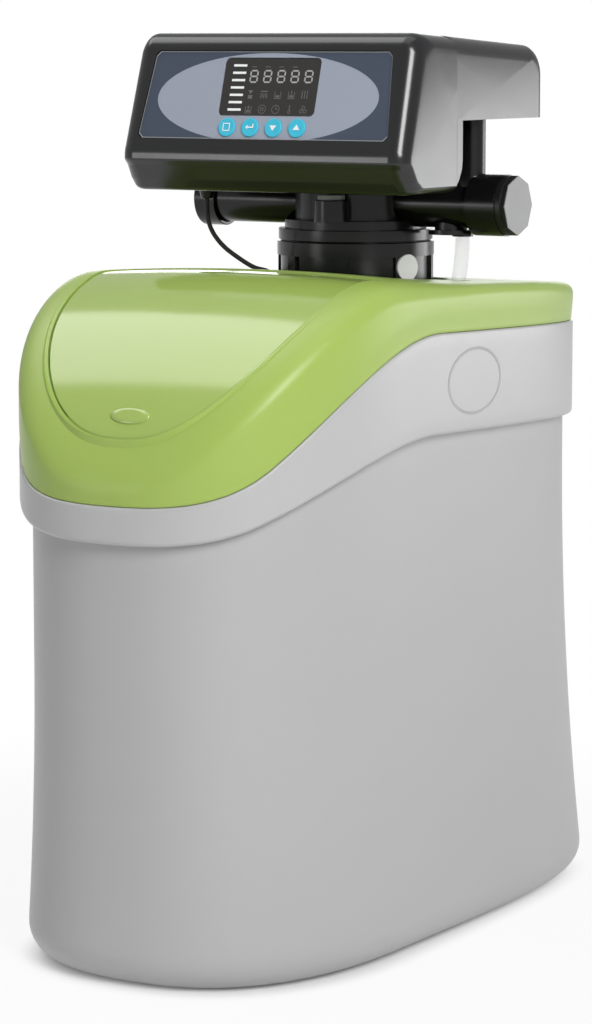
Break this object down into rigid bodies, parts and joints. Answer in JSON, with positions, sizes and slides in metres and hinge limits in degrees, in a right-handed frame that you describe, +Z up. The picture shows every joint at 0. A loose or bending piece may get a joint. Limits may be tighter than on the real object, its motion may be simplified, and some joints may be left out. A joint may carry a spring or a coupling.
{
  "type": "water softener",
  "caption": "Compact cabinet water softener: flared brine tub with a wave-edged cover and hinged salt hatch, resin vessel inside, and a motorised control valve head with display and keys.",
  "frame": {"origin": "middle of the tub's footprint on the floor", "axes": "+Z up, -Y towards the front with the display, +X towards the capped port"},
  "size_m": [0.2108, 0.3926, 0.4905],
  "materials": {
    "tub_grey": "satin light grey moulding",
    "collar_grey": "fine satin light grey",
    "leaf_green": "glossy yellow-green moulding",
    "black_gloss": "glossy black moulding",
    "black_matt": "satin black moulding",
    "panel_blue": "printed slate-blue sheet with a paler oval",
    "display_black": "smoked display window",
    "button_cyan": "bright cyan domed key",
    "white_plastic": "plain white",
    "cap_grey": "mid grey",
    "steel": "bright steel",
    "ceramic": "polished ceramic",
    "vessel_blue": "wound fibre vessel, resin finish",
    "resin_amber": "amber beads",
    "seal_rubber": "black seal",
    "clear_hose": "clear flexible tube",
    "board_green": "green board"
  },
  "bodies": {
    "cabinet": {"brine_tub": "tub_grey", "cabinet_collar": "collar_grey", "top_cover": "leaf_green", "hatch_pins": "steel", "pressure_vessel": "vessel_blue", "vessel_boot": "black_matt", "riser_tube": "white_plastic", "lower_strainer": "white_plastic", "upper_strainer": "white_plastic", "resin_bed": "resin_amber", "neck_collar": "black_matt", "neck_plug": "white_plastic", "valve_base": "black_matt", "neck_seal": "seal_rubber", "valve_body": "black_matt", "fixed_disc": "ceramic", "valve_bonnet": "black_matt", "bonnet_screws": "steel", "drive_motor": "steel", "chassis_plate": "black_matt", "meter_housing": "black_matt", "meter_stem": "black_matt", "port_cap": "cap_grey", "port_nut": "black_matt", "drain_spigot": "black_matt", "injector_housing": "black_matt", "injector_cap": "black_matt", "brine_elbow": "black_matt", "front_case": "black_gloss", "rear_cover": "black_gloss", "display_panel": "panel_blue", "display_window": "display_black", "circuit_board": "board_green", "key_switches": "black_matt", "brine_well": "white_plastic", "well_cap": "cap_grey", "brine_pickup": "white_plastic", "brine_hose": "clear_hose", "cable_gland": "black_matt", "control_lead": "black_matt", "lead_socket": "black_matt"},
    "hatch": {"salt_hatch": "leaf_green"},
    "rotor": {"spindle": "ceramic", "drive_gear": "white_plastic", "moving_disc": "ceramic"},
    "pinion": {"motor_pinion": "white_plastic"},
    "float": {"brine_float": "white_plastic"},
    "menu_key": {"menu_button": "button_cyan"},
    "set_key": {"set_button": "button_cyan"},
    "down_key": {"down_button": "button_cyan"},
    "up_key": {"up_button": "button_cyan"}
  },
  "joints": [
    {"name": "hatch_hinge", "type": "hinge", "parent": "cabinet", "child": "hatch", "pos_m": [0, -0.064, 0.35487], "axis": [-1, 0, 0], "range_deg": [0, 90]},
    {"name": "valve_turn", "type": "hinge", "parent": "cabinet", "child": "rotor", "pos_m": [0, 0.057, 0.44], "axis": [0, 0, 1], "continuous": true},
    {"name": "pinion_turn", "type": "hinge", "parent": "cabinet", "child": "pinion", "pos_m": [0.0375, 0.057, 0.45], "axis": [0, 0, 1], "continuous": true},
    {"name": "float_lift", "type": "slide", "parent": "cabinet", "child": "float", "axis": [0, 0, 1], "range_m": [0, 0.08]},
    {"name": "menu_press", "type": "slide", "parent": "cabinet", "child": "menu_key", "axis": [0, 0.9588, -0.284], "range_m": [0, 0.001], "stiffness_N_per_m": 600},
    {"name": "set_press", "type": "slide", "parent": "cabinet", "child": "set_key", "axis": [0, 0.9588, -0.284], "range_m": [0, 0.001], "stiffness_N_per_m": 600},
    {"name": "down_press", "type": "slide", "parent": "cabinet", "child": "down_key", "axis": [0, 0.9588, -0.284], "range_m": [0, 0.001], "stiffness_N_per_m": 600},
    {"name": "up_press", "type": "slide", "parent": "cabinet", "child": "up_key", "axis": [0, 0.9588, -0.284], "range_m": [0, 0.001], "stiffness_N_per_m": 600}
  ],
  "couplings": [
    {"joint": "pinion_turn", "follows": "valve_turn", "ratio": -4}
  ]
}
